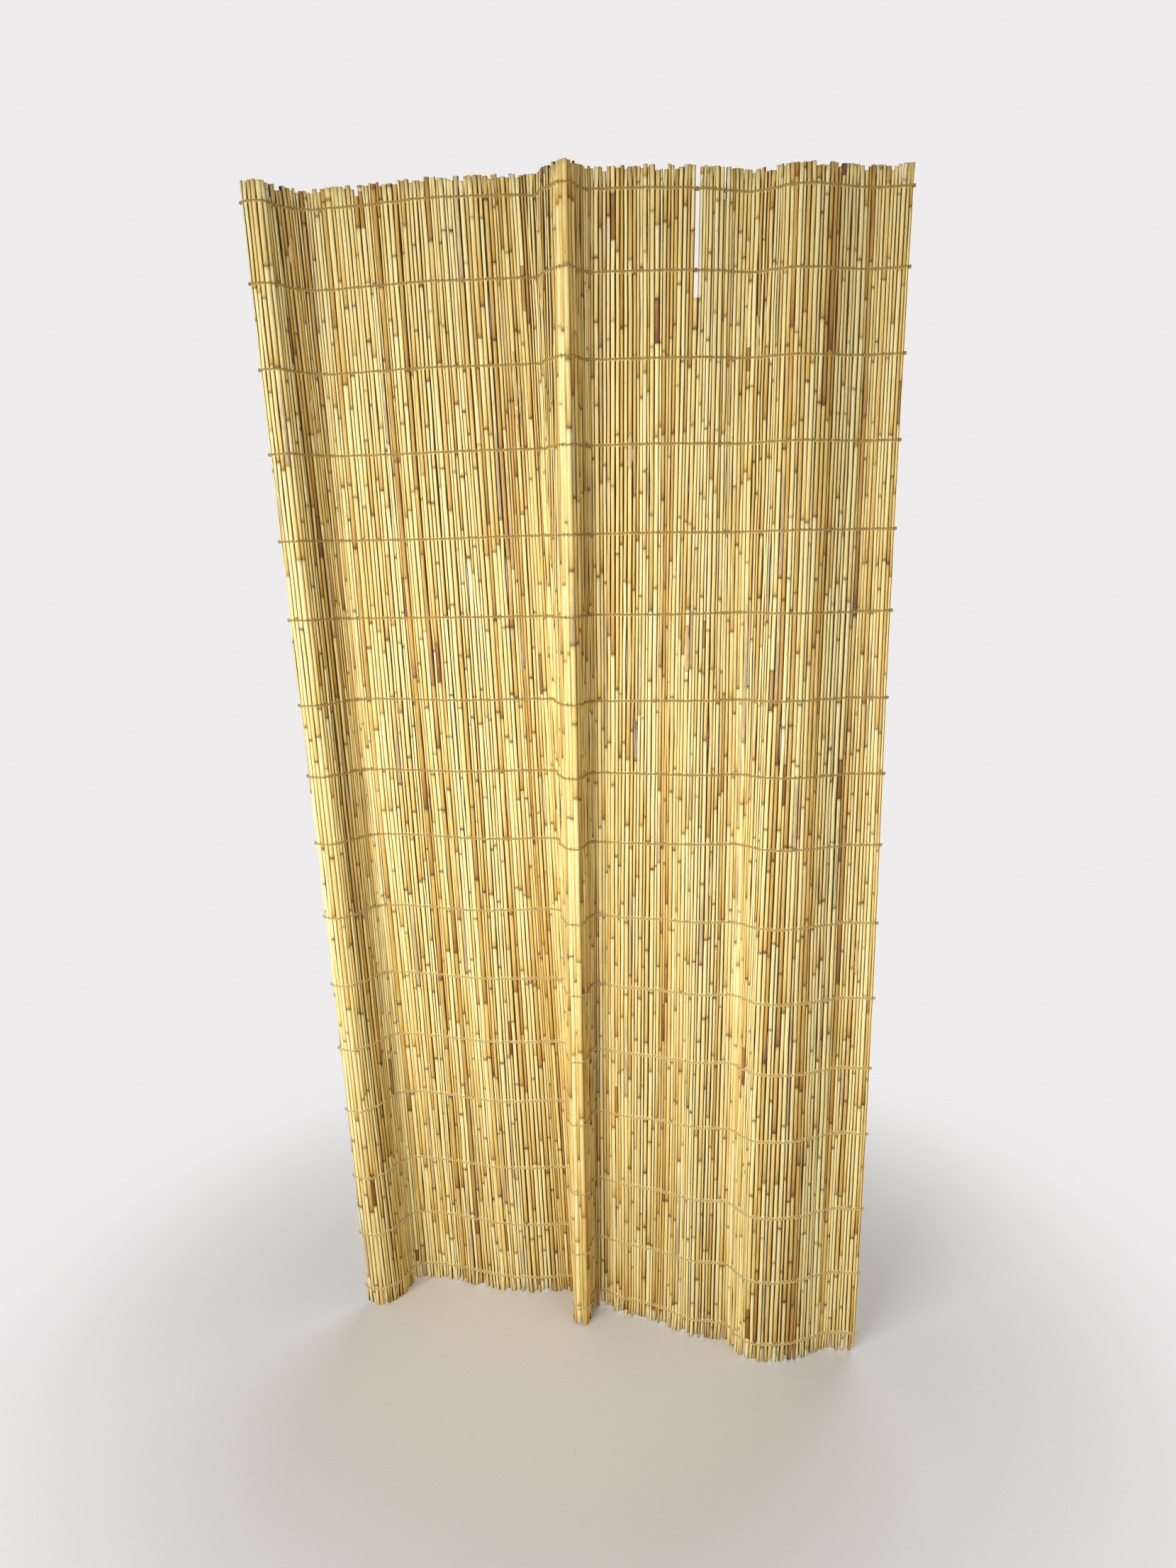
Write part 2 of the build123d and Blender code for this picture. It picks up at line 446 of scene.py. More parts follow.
def reed_finish(look):
    """Straw-coloured skin: tones along each joint, fine streaks, node scars, painted shade that turns each
    reed's flanks golden, and dark painted shade in the grooves between reeds.
    """
    made, finish = Finish.material("reed_skin")
    marks = finish.add("ShaderNodeAttribute", {"attribute_name": MARKS}, {}, "Color")
    # The marks' alpha is painted shade: how deep in the shaded groove between two reeds a spot lies
    groove_shade = Wire(finish, marks.socket.node.outputs["Alpha"])
    parts = finish.add("ShaderNodeSeparateColor", {}, {"Color": marks}).socket.node.outputs
    tone, ring, paper = (Wire(finish, socket) for socket in parts)
    streak = finish.noise((900, 900, 14))
    blotch = finish.noise((150, 150, 16))
    speck = finish.noise((420, 420, 260), 1.0)
    dust_and_shade = finish.noise((190, 190, 5))
    mottle = finish.noise((240, 240, 45))
    # Painted shade: the groove value also turns each reed's flanks golden
    shade = tone + (streak - 0.5) * 0.36 + (blotch - 0.5) * 0.3 + (mottle - 0.5) * 0.16 + 0.36 * groove_shade
    stops = ((0, look.pale), (0.26, look.straw), (0.5, look.golden), (0.8, look.tan), (1, look.brown))
    skin = finish.add("ShaderNodeValToRGB", {"stops": stops}, {"Fac": shade})
    skin = finish.mix(paper * finish.between(blotch + streak, 0.75, 1.1), skin, look.paper)
    skin = finish.mix(finish.between(speck, 0.70, 0.78) * 0.5, skin, look.brown)
    skin = finish.mix(ring * (0.7 + 0.5 * streak), skin, look.ring)
    # Painted shade: dark brown in the grooves between reeds, with an uneven edge
    skin = finish.mix(finish.between(groove_shade + 0.5 * (dust_and_shade - 0.5), 0.3, 0.74), skin, look.groove_shade)
    finish.surface(
        Base_Color=skin,
        Roughness=0.36 + 0.26 * streak + 0.2 * (paper + ring) + 0.3 * groove_shade,
        Normal=finish.bump(streak + 0.4 * speck, 0.0004, 0.35),
        IOR=1.45,
    )
    return made


def cut_finish(look):
    """Cut end of a reed: pale pith, darker and dusty in the hole."""
    made, finish = Finish.material("reed_cut_end")
    dust_and_shade = finish.noise((700, 700, 700))
    pith = finish.mix(finish.between(dust_and_shade, 0.35, 0.75), look.pith, look.tan)
    finish.surface(Base_Color=pith, Roughness=0.8 + 0.1 * dust_and_shade, Normal=finish.bump(dust_and_shade, 0.0003, 0.4))
    return made


def twine_finish(look):
    """Two-ply twine: slanting plies with painted shade in the creases between them, fuzz, and a paler tint
    towards the foot.
    """
    made, finish = Finish.material("twine")
    spot = finish.add("ShaderNodeTexCoord", {}, {}, "Object")
    height = finish.add("ShaderNodeSeparateXYZ", {}, {"Vector": spot}, "Z")
    lay = finish.add("ShaderNodeUVMap", {"uv_map": PLY_MAP}, {})
    ply = finish.add(
        "ShaderNodeTexWave", {"wave_type": "BANDS", "bands_direction": "DIAGONAL"},
        {"Vector": lay, "Scale": ONE_WAVE, "Distortion": 0.6, "Detail": 1.0}, "Fac",
    )
    fuzz = finish.noise((900, 900, 900))
    tint = finish.mix(finish.between(height, TINT_LOW, TINT_HIGH), look.lower, look.upper)
    # Painted shade: the bands between the plies are darkened as their creases would be shaded; fuzz darkens
    # at random
    shade = finish.mix(0.3 * (1 - ply) + 0.2 * fuzz, tint, tuple(0.35 * level for level in look.upper))
    finish.surface(
        Base_Color=shade, Roughness=0.78 + 0.15 * fuzz, Normal=finish.bump(ply + 0.5 * fuzz, 0.0004, 0.6)
    )
    return made


def leaf_finish(look):
    """Dry leaf: papery and pale, streaked along its length."""
    made, finish = Finish.material("dry_leaf")
    streak = finish.noise((1200, 1200, 18))
    blotch = finish.noise((160, 160, 40))
    skin = finish.mix(finish.between(streak, 0.3, 0.7), look.paper, look.straw)
    skin = finish.mix(finish.between(blotch, 0.5, 0.8) * 0.5, skin, look.tan)
    finish.surface(Base_Color=skin, Roughness=0.66 + 0.2 * streak, Normal=finish.bump(streak, 0.0003, 0.4))
    return made


def scatter(index, step_share):
    """A spread-out share for each index, always the same."""
    return index * index * step_share % 1


def fold_line(shares):
    """A smooth line through the shares, as long as the flat mat is wide: lengths along it, and points."""
    points = np.array(shares) * MAT_WIDTH
    chords = np.diff(points, axis=0)
    steps = np.linalg.norm(chords, axis=1)
    slopes = chords / steps[:, None]
    count = len(points)
    rule = np.eye(count)
    goal = np.empty_like(points)
    goal[0] = slopes[0] - steps[0] * (slopes[1] - slopes[0]) / (steps[0] + steps[1])
    goal[-1] = slopes[-1] + steps[-1] * (slopes[-1] - slopes[-2]) / (steps[-1] + steps[-2])
    for i in range(1, count - 1):
        before, after = 1 / steps[i - 1], 1 / steps[i]
        rule[i, i - 1:i + 2] = before, 2 * (before + after), after
        goal[i] = 3 * (slopes[i - 1] * before + slopes[i] * after)
    tangents = np.linalg.solve(rule, goal)
    line = [points[:1]]
    t = np.linspace(0, 1, STEPS_PER_SPAN + 1)[1:, None]
    for i in range(count - 1):
        line.append(
            (1 + 2 * t) * (1 - t) ** 2 * points[i] + t * (1 - t) ** 2 * steps[i] * tangents[i]
            + t ** 2 * (3 - 2 * t) * points[i + 1] + t ** 2 * (t - 1) * steps[i] * tangents[i + 1]
        )
    line = np.concatenate(line)
    along = np.concatenate([[0], np.cumsum(np.linalg.norm(np.diff(line, axis=0), axis=1))])
    return along / along[-1], line * MAT_WIDTH / along[-1]


def along_fold(fold, place):
    """The point at a share of a fold line's length."""
    lengths, points = fold
    return np.array([np.interp(place, lengths, points[:, axis]) for axis in (0, 1)])


def row_heights():
    """Heights of the rows of twine, from the foot up."""
    boxes = [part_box(name) for name in ROW_NODES]
    return sorted((low[2] + high[2]) / 2 for low, high in boxes)


def shared_sway(number, height):
    """From -1 to 1, how far the reeds about one number lean to the side together at a height."""
    return sum(size * math.sin(turn * number + rise * height) for size, turn, rise in SWAY_WAVES)


def gap_shades(reeds):
    """How dark the painted shade in the gap before each reed is, and in the one after the last. A sharp bend
    lets light in, so it gets less.
    """
    draw = random.Random(len(reeds))
    pairs = zip(reeds[:1] + reeds, reeds + reeds[-1:])
    bends = [1 - before.across @ after.across for before, after in pairs]
    return [draw.choices(GAP_SHADE_TONES, GAP_SHADE_CHANCES)[0] / (1 + GAP_BEND_LIGHT * bend) for bend in bends]


def free_ends(rows, low, high):
    """Heights, and a value there: low or high beyond the outer rows of twine, and 1 between them."""
    heights = (0, rows[0] - FREE_REACH, rows[0], rows[-1], rows[-1] + FREE_REACH, REED_LENGTH)
    return heights, (low, low, 1, 1, high, high)


class Reed:
    """One reed: the line it stands on, and its size and tones at stations along it."""

    def __init__(self, number, foot, head, across, radius, low, high):
        self.number = number
        self.foot = foot
        self.head = head
        self.across = across
        self.out = np.array([across[1], -across[0]])
        self.radius = radius
        self.low = low
        self.high = high
        self.draw = random.Random(number)
        self.push = {}

    def grow(self, look, rows):
        """Sets out the reed's joints, its stains, and its play among its neighbours."""
        self.set_joints(look)
        for number, low, high, tone in STAINS:
            if number == self.number:
                self.stain(low, high, tone)
        self.table[1] *= np.interp(self.table[0], *free_ends(rows, look.loose_feet, look.loose_heads))
        # How much of the painted gap shade is left at each height: less at the free feet and heads
        self.shut = free_ends(rows, GAP_SHADE_FOOT_SHARE, GAP_SHADE_HEAD_SHARE)
        self.low += look.lifted * max(0, self.draw.uniform(-0.8, 1)) ** 2
        self.set_moves(look, rows)

    def set_joints(self, look):
        """Draws the length and the tones of each joint, from the root up."""
        draw = self.draw
        taper = look.taper * draw.uniform(0.2, 1.0) * draw.choice((1, 1, -1))
        habit = draw.choices(REED_TONES, REED_CHANCES)[0] + draw.gauss(0, 0.05)
        node = -draw.uniform(0, look.longest)
        stations = []
        while node < REED_LENGTH:
            joint = draw.uniform(look.shortest, look.longest)
            tone = min(max(habit + draw.gauss(0, 0.09), 0.0), 0.85)
            darker = draw.uniform(0.1, 0.5) * draw.choice((1, 1, 1, 0))
            if draw.random() < STAINED_CHANCE:
                tone = draw.uniform(0.7, 0.95)
                joint = 0.7 * look.shortest
            leaf = 1.0 if draw.random() < LEAF_CHANCE else 0.0
            scar = draw.uniform(0.3, 0.95)
            swell = look.swell * draw.uniform(0.3, 1.0)
            paler = draw.uniform(0, 0.1)
            for along, offset, thickness, *shares in JOINT_RINGS:
                height = node + along * joint + offset
                parts = np.array(shares) * (swell, darker, paler, scar, leaf)
                size = self.radius * (thickness + parts[0])
                radius = size * (1 - taper * (height / REED_LENGTH - 0.5))
                stations.append((height, radius, tone + parts[1] - parts[2], parts[3], parts[4]))
            node += joint
        self.table = np.array(stations).T

    def set_moves(self, look, rows):
        """Shifts the reed a little at every row of twine, more between two rows and most at its ends."""
        self.knots = [0.0]
        self.moves = [self.lean(look.splay, look.splay)]
        for low, high in zip(rows, rows[1:] + [REED_LENGTH]):
            middle = (low + high) / 2
            self.knots += [low, middle]
            self.moves.append(self.lean(TIED_STRAY_SHARE * look.stray, TIED_BOW_SHARE * look.bow))
            self.moves.append(self.lean(look.stray, look.bow))
            self.moves[-1] += (self.push.get(round(middle, 4), 0), 0)
        self.knots[-1] = REED_LENGTH
        self.moves[-1] = self.lean(HEAD_SPLAY_SHARE * look.splay, HEAD_SPLAY_SHARE * look.splay)
        self.moves = np.array(self.moves)
        self.moves[:, 0] += [look.sway * shared_sway(self.number, height) for height in self.knots]

    def stain(self, low, high, tone):
        """Darkens one length of the reed."""
        edge = 1.5 * MM
        heights = np.array((low - edge, low, high, high + edge))
        stained = np.array([np.interp(heights, self.table[0], row) for row in self.table])
        stained[0] = heights
        stained[2, 1:3] = tone
        inside = (self.table[0] > low) & (self.table[0] < high)
        self.table[2, inside] = tone
        merged = np.concatenate([self.table, stained], axis=1)
        self.table = merged[:, np.argsort(merged[0], kind="stable")]

    def lean(self, side, out):
        """A small shift along the mat and out of it."""
        return np.array((self.draw.uniform(-side, side), self.draw.uniform(-out, out)))

    def sizes(self, heights):
        """Radius, tone, scar and clinging leaf at each height."""
        return np.array([np.interp(heights, self.table[0], row) for row in self.table[1:]]).T

    def middles(self, heights):
        """Middle of the reed at each height."""
        rise = np.array(heights)[:, None] / REED_LENGTH
        side = np.interp(heights, self.knots, self.moves[:, 0])[:, None]
        out = np.interp(heights, self.knots, self.moves[:, 1])[:, None]
        spots = self.foot * (1 - rise) + self.head * rise + self.across * side + self.out * out
        return [Vector((*spot, height)) for spot, height in zip(spots, heights)]

    def middle(self, height):
        """Middle of the reed at one height."""
        return self.middles([height])[0]

    def radius_at(self, height):
        """Radius of the reed at one height."""
        return float(self.sizes([height])[0, 0])

    def heights(self):
        """Heights of the rings that draw this reed."""
        strips = [STRIP_LENGTH * strip for strip in range(1, STRIPS_PER_REED)]
        marked = (*self.table[0], *self.knots, *strips)
        spots = [height for height in marked if self.low < height < self.high]
        kept = [self.low]
        for height in sorted(spots) + [self.high]:
            if height - kept[-1] > RING_SPACING or height in strips:
                kept.append(height)
        return kept


def all_reeds(look):
    """Every reed of the mat, from the left edge to the right."""
    count = round(MAT_WIDTH / ((THIN_REED + THICK_REED) / 2))
    sizes = [THIN_REED + (THICK_REED - THIN_REED) * scatter(i, SIZE_STEP_SHARE) for i in range(count)]
    spacing = [(left + right) / 2 for left, right in zip(sizes, sizes[1:])]
    places = [sum(spacing[:i]) / sum(spacing) for i in range(count)]
    room = MAT_WIDTH / sum(spacing)
    stumps = {round(place * (count - 1)): height for place, height in BROKEN_SHARES}
    foot_line = fold_line(FOOT_SHARES)
    head_line = fold_line(HEAD_SHARES)
    rows = row_heights()
    feet = [along_fold(foot_line, place) for place in places]
    heads = [along_fold(head_line, place) for place in places]
    reeds = []
    for i, place in enumerate(places):
        before, after = max(i - 1, 0), min(i + 1, count - 1)
        across = feet[after] + heads[after] - feet[before] - heads[before]
        rise = max(0, scatter(i, FOOT_STEP_SHARE) - FLUSH_SHARE) / (1 - FLUSH_SHARE)
        high = REED_LENGTH - HEAD_RAGGED * scatter(i, HEAD_STEP_SHARE) ** 2 - HEAD_SLOPE * (1 - place)
        if i in stumps:
            high = REED_LENGTH * stumps[i]
        radius = sizes[i] / 2 * room * look.fit
        across = across / np.linalg.norm(across)
        reeds.append(Reed(i, feet[i], heads[i], across, radius, FOOT_RAGGED * rise, high))
    open_gaps(reeds, rows)
    gaps = gap_shades(reeds)
    for reed in reeds:
        reed.gaps = gaps[reed.number], gaps[reed.number + 1]
        reed.grow(look, rows)
    return reeds


def open_gaps(reeds, rows):
    """Pushes neighbours apart where light shows through the mat."""
    bays = list(zip(rows, rows[1:]))
    span = rows[-1] - rows[0]
    loose = [bay for bay in bays if GAP_LOW_SHARE < (bay[0] - rows[0]) / span < GAP_HIGH_SHARE]
    for number in range(GAP_COUNT):
        place = GAP_LEFT_SHARE + (GAP_RIGHT_SHARE - GAP_LEFT_SHARE) * (number * GAP_STEP_SHARE % 1)
        index = round(place * (len(reeds) - 2))
        low, high = loose[number % len(loose)]
        middle = round((low + high) / 2, 4)
        for reed, way in ((reeds[index], -1), (reeds[index + 1], 1)):
            reed.push[middle] = reed.push.get(middle, 0) + way * GAP_WIDTH / 2


def new_piece(name, mesh, nodes, finishes):
    """An object for a finished mesh, riding on the mat."""
    piece = bpy.data.objects.new(name, mesh)
    bpy.context.scene.collection.objects.link(piece)
    for finish in finishes:
        mesh.materials.append(finish)
    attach(piece, BODY)
    if nodes:
        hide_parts(*nodes)


def reed_mesh(reed, look, column):
    """One reed as a closed tube with nodes and hollow cut ends."""
    bm = bmesh.new()
    marks = bm.verts.layers.float_color.new(MARKS)
    lay = bm.verts.layers.float_vector.new("lay")
    heights = reed.heights()
    spots = reed.middles(heights)
    sizes = reed.sizes(heights)
    half_side = math.pi / look.sides
    facing = Matrix.Rotation(math.atan2(reed.across[1], reed.across[0]) + half_side, 4, "Z")
    rim = bmesh.ops.create_circle(
        bm, segments=look.sides, radius=sizes[0, 0] / math.cos(half_side),
        matrix=Matrix.Translation(spots[0]) @ facing,
    )["verts"]
    edges = bm.edges[:]
    sides = {vert: side for side, vert in enumerate(rim)}
    across = Vector((*reed.across, 0))
    # Painted shade: the flanks that face the neighbours take the gap's shade, none of it towards the front
    flanks = [(vert.co - spots[0]).dot(across) / sizes[0, 0] for vert in rim]
    depths = [min(max((abs(flank) - GROOVE_START_SHARE) / GROOVE_WIDTH_SHARE, 0), 1) for flank in flanks]
    groove_shades = [depth * reed.gaps[int(flank > 0)] for depth, flank in zip(depths, flanks)]
    shut = np.interp(heights, *reed.shut)
    for step, height in enumerate(heights):
        if step:
            made = bmesh.ops.extrude_edge_only(bm, edges=edges)["geom"]
            rim = [part for part in made if isinstance(part, bmesh.types.BMVert)]
            edges = [part for part in made if isinstance(part, bmesh.types.BMEdge) and part.is_boundary]
            grow = sizes[step, 0] / sizes[step - 1, 0]
            rise = Matrix.Translation(spots[step]) @ Matrix.Diagonal((grow, grow, 1, 1))
            bmesh.ops.transform(bm, matrix=rise @ Matrix.Translation(-spots[step - 1]), verts=rim)
        for vert in rim:
            side = round(vert[lay].x) if step else sides[vert]
            vert[lay] = (side, height, 0)
            vert[marks] = (*sizes[step, 1:], groove_shades[side] * shut[step])
    slant_top(bm, reed, spots[-1], sizes[-1, 0])
    close_ends(bm, look, reed)
    bmesh.ops.recalc_face_normals(bm, faces=bm.faces[:])
    lay_out(bm, lay, look.sides, column)
    bm.verts.layers.float_vector.remove(lay)
    mesh = bpy.data.meshes.new("reed")
    bm.to_mesh(mesh)
    bm.free()
    return mesh


def slant_top(bm, reed, spot, radius):
    """Cuts the head off at a slant."""
    slant = math.radians(reed.draw.choice(CUT_SLANTS))
    heading = reed.draw.uniform(0, 2 * math.pi)
    normal = Vector((math.cos(heading), math.sin(heading), 1 / math.tan(slant))).normalized()
    cut = spot - Vector((0, 0, radius * math.tan(slant) + CUT_MARGIN))
    bmesh.ops.bisect_plane(
        bm, geom=bm.verts[:] + bm.edges[:] + bm.faces[:], plane_co=cut, plane_no=normal, clear_outer=True
    )


def close_ends(bm, look, reed):
    """Closes both ends with a wall of reed round a hole."""
    rims = [edge for edge in bm.edges if edge.is_boundary]
    caps = bmesh.ops.holes_fill(bm, edges=rims, sides=0)["faces"]
    for cap in caps:
        cap.material_index = 1
        wall = look.wall * reed.radius
        bmesh.ops.inset_region(bm, faces=[cap], thickness=wall, use_boundary=True, use_even_offset=True)
        bmesh.ops.inset_region(
            bm, faces=[cap], thickness=HOLE_TAPER_SHARE * wall, depth=-look.hollow, use_boundary=True
        )


def lay_out(bm, lay, sides, column):
    """Lays the skin out in strips side by side, and the cut ends above them."""
    layer = bm.loops.layers.uv.new(BAKE_MAP)
    columns = REEDS_PER_BUNDLE * STRIPS_PER_REED
    for face in bm.faces:
        spots = [loop.vert[lay] for loop in face.loops]
        height = sum(spot.y for spot in spots) / len(spots)
        strip = min(int(height / STRIP_LENGTH), STRIPS_PER_REED - 1)
        left = (column * STRIPS_PER_REED + strip) / columns
        turned = max(spot.x for spot in spots) - min(spot.x for spot in spots) > sides / 2
        centre = face.calc_center_median()
        for loop, spot in zip(face.loops, spots):
            if face.material_index:
                reach = (loop.vert.co - centre) / THICK_REED
                across = 0.5 + CUT_REACH * reach.x
                up = 1 - CUTS_SHARE / 2 + CUT_REACH * CUTS_SHARE * reach.y
            else:
                side = spot.x + (sides if turned and spot.x < sides / 2 else 0)
                across = MAP_MARGIN + (1 - 2 * MAP_MARGIN) * side / sides
                up = (1 - CUTS_SHARE) * SKIN_SHARE * (spot.y / STRIP_LENGTH - strip)
            loop[layer].uv = (left + across / columns, up)


class MAT_OT_reeds(bpy.types.Operator):
    """Lay the reeds side by side along the folds, in bundles"""

    bl_idname = "mat.reeds"
    bl_label = "Lay Reeds"

    def execute(self, context):
        look = context.scene.mat_reeds
        reeds = all_reeds(look)
        finishes = (reed_finish(look), cut_finish(look))
        for first in range(0, len(reeds), REEDS_PER_BUNDLE):
            bundle = bmesh.new()
            for column, reed in enumerate(reeds[first:first + REEDS_PER_BUNDLE]):
                mesh = reed_mesh(reed, look, column)
                bundle.from_mesh(mesh)
                bpy.data.meshes.remove(mesh)
            mesh = bpy.data.meshes.new(f"reeds_{first // REEDS_PER_BUNDLE + 1:02d}")
            bundle.to_mesh(mesh)
            bundle.free()
            mesh.shade_smooth()
            new_piece(mesh.name, mesh, [WALL_NODE], finishes)
        return {"FINISHED"}


def strand_points(reeds, levels, thickness, first_side):
    """Points of one strand and its fullness there: before one reed, through the gap, behind the next."""
    points = []
    half = thickness / 2
    for i, (reed, level) in enumerate(zip(reeds, levels)):
        side = first_side if i % 2 == 0 else -first_side
        middle = reed.middle(level)
        reach = reed.radius_at(level) + STRAND_SEAT * half
        across = Vector((*reed.across, 0))
        out = Vector((*reed.out, 0))
        for turn in WRAP_ANGLES:
            angle = math.radians(turn)
            spot = middle + across * reach * math.sin(angle) + out * side * reach * math.cos(angle)
            spot.z = level + side * half * STRAND_SLANT * math.sin(angle)
            points.append((spot, 1.0))
        if i + 1 < len(reeds):
            beyond = reeds[i + 1].middle(level)
            spot = (middle + beyond) / 2 + out * CROSSING_OUT_SHARE * reach
            spot.z = level + CROSSING_RISE * side * half
            points.append((spot, CROSSING_FULLNESS))
    return points


def tail_points(reed, height, thickness, sideways, up):
    """Points of a loose end that leaves the front of a reed."""
    start = reed.middle(height) + Vector((*reed.out, 0)) * (reed.radius_at(height) + thickness)
    across = Vector((*reed.across, 0))
    out = Vector((*reed.out, 0))
    points = []
    for step in range(TAIL_STEPS + 1):
        along = step / TAIL_STEPS
        bulge = TAIL_BULGE * thickness * math.sin(math.pi * along)
        lift = Vector((0, 0, up * along ** TAIL_LIFT))
        spot = start + across * sideways * along + out * bulge + lift
        points.append((spot, TAIL_FULLNESS))
    return points


def edge_knot(reed, height, thickness, way):
    """A small tight coil that ends a row at the edge of the mat."""
    across = Vector((*reed.across, 0)) * way
    out = Vector((*reed.out, 0))
    start = reed.middle(height) + across * (reed.radius_at(height) + KNOT_GAP * thickness)
    points = []
    for step in range(int(KNOT_TURNS * KNOT_STEPS) + 1):
        angle = 2 * math.pi * step / KNOT_STEPS
        forward = across * thickness * (KNOT_START + (1 - KNOT_START) * step / KNOT_STEPS / KNOT_TURNS)
        round_it = out * math.cos(angle) + Vector((0, 0, math.sin(angle)))
        points.append((start + forward + round_it * KNOT_WIDTH * thickness, 1.0))
    return points


def twine_mesh(name, paths, thickness, ply):
    """Round strands along paths, closed at their ends, with maps for their plies and for baking."""
    line = bpy.data.curves.new(name, "CURVE")
    line.dimensions = "3D"
    line.bevel_depth = thickness / 2
    line.bevel_resolution = TWINE_SIDES // 2 - 2
    for path in paths:
        spline = line.splines.new("POLY")
        spline.points.add(len(path) - 1)
        for point, (spot, fullness) in zip(spline.points, path):
            point.co = (*spot, 1)
            point.radius = fullness
    holder = bpy.data.objects.new(name, line)
    mesh = bpy.data.meshes.new_from_object(holder)
    bpy.data.objects.remove(holder)
    bpy.data.curves.remove(line)
    mesh.name = name
    bm = bmesh.new()
    bm.from_mesh(mesh)
    map_strands(bm, paths, ply)
    bmesh.ops.holes_fill(bm, edges=[edge for edge in bm.edges if edge.is_boundary], sides=0)
    bmesh.ops.recalc_face_normals(bm, faces=bm.faces[:])
    bm.to_mesh(mesh)
    bm.free()
    return mesh


def map_strands(bm, paths, ply):
    """Writes where each face lies along and round its strand."""
    strands = [strand for strand, path in enumerate(paths) for spot in path]
    along = []
    for path in paths:
        steps = [(after - before).length for (before, full), (after, full) in zip(path, path[1:])]
        along += [sum(steps[:count]) for count in range(len(path))]
    longest = max(along)
    plies = bm.loops.layers.uv.new(PLY_MAP)
    bakes = bm.loops.layers.uv.new(BAKE_MAP)
    rows = TWINE_STRIPS * len(paths)
    for face in bm.faces:
        rings = [loop.vert.index // TWINE_SIDES for loop in face.loops]
        sides = [loop.vert.index % TWINE_SIDES for loop in face.loops]
        turned = max(sides) - min(sides) > TWINE_SIDES / 2
        strip = min(int(TWINE_STRIPS * along[min(rings)] / longest), TWINE_STRIPS - 1)
        row = strands[rings[0]] * TWINE_STRIPS + strip
        for loop, ring, side in zip(face.loops, rings, sides):
            turn = (side + (TWINE_SIDES if turned and side == 0 else 0)) / TWINE_SIDES
            loop[plies].uv = (along[ring] / ply, turn)
            reach = STRAND_START + STRAND_REACH * (TWINE_STRIPS * along[ring] / longest - strip)
            loop[bakes].uv = (reach, (row + MAP_MARGIN + (1 - 2 * MAP_MARGIN) * turn) / rows)


def row_levels(number, height, count, drift):
    """Height of one row at each reed: it wanders a little up and down."""
    draw = random.Random(ROW_SEED + number)
    waves = [(rate, draw.uniform(0, 2 * math.pi), size) for rate, size in ROW_WAVES]
    return [
        height + drift * sum(size * math.sin(i * rate + phase) for rate, phase, size in waves)
        for i in range(count)
    ]


class MAT_OT_twine(bpy.types.Operator):
    """Tie the reeds with two strands of twine a row, crossing in every gap"""

    bl_idname = "mat.twine"
    bl_label = "Tie Twine"

    def execute(self, context):
        look = context.scene.mat_twine
        size = look.thickness
        reeds = all_reeds(context.scene.mat_reeds)
        finish = twine_finish(look)
        for number, node in enumerate(ROW_NODES, 1):
            low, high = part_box(node)
            height = (low[2] + high[2]) / 2
            tied = [reed for reed in reeds if reed.high > height + size]
            levels = row_levels(number, height, len(tied), look.drift)
            paths = [strand_points(tied, levels, size, side) for side in (1, -1)]
            paths.append(edge_knot(tied[0], levels[0], size, -1))
            paths.append(edge_knot(tied[-1], levels[-1], size, 1))
            for row, reed, sideways, up in TAILS:
                if row == number:
                    paths.append(tail_points(reeds[reed], height, size, sideways, up))
            mesh = twine_mesh(f"twine_{number:02d}", paths, size, look.ply)
            mesh.shade_smooth()
            new_piece(mesh.name, mesh, [node], [finish])
        return {"FINISHED"}


def leaf_strip(bm, reed, foot, reach, degrees, peel):
    """A strip of dry leaf with torn edges, which hugs the front of a reed and peels away at its tip."""
    made = bmesh.ops.create_grid(bm, x_segments=6, y_segments=12, size=0.5)["verts"]
    across = Vector((*reed.across, 0))
    out = Vector((*reed.out, 0))
    for vert in made:
        rise = vert.co.y + 0.5
        height = foot + reach * rise
        torn = LEAF_TEAR_SHARE * math.sin(LEAF_TEAR_TURN * rise + reed.number)
        foot_width = LEAF_FOOT_SHARE + (1 - LEAF_FOOT_SHARE) * min(rise / LEAF_FOOT_REACH_SHARE, 1)
        tip_width = 1 - (1 - LEAF_TIP_SHARE) * rise ** 2
        width = (1 + torn * math.copysign(1, vert.co.x)) * tip_width * foot_width
        angle = math.radians(degrees) * vert.co.x * width
        away = reed.radius_at(height) + 2 * LEAF_THICKNESS + peel * rise ** 3
        vert.co = reed.middle(height) + away * (across * math.sin(angle) + out * math.cos(angle))
    faces = {face for vert in made for face in vert.link_faces}
    bmesh.ops.recalc_face_normals(bm, faces=list(faces))
    bmesh.ops.solidify(bm, geom=list(faces), thickness=LEAF_THICKNESS)


class MAT_OT_leaves(bpy.types.Operator):
    """Leave strips of dry leaf on some reeds"""

    bl_idname = "mat.leaves"
    bl_label = "Leave Dry Leaf"

    def execute(self, context):
        look = context.scene.mat_reeds
        reeds = all_reeds(look)
        bm = bmesh.new()
        for number, foot, reach, degrees, peel in SHEATHS:
            leaf_strip(bm, reeds[number], foot, reach, degrees, peel)
        bmesh.ops.recalc_face_normals(bm, faces=bm.faces[:])
        mesh = bpy.data.meshes.new("leaf_sheaths")
        bm.to_mesh(mesh)
        bm.free()
        mesh.shade_smooth()
        new_piece(mesh.name, mesh, [], [leaf_finish(look)])
        return {"FINISHED"}


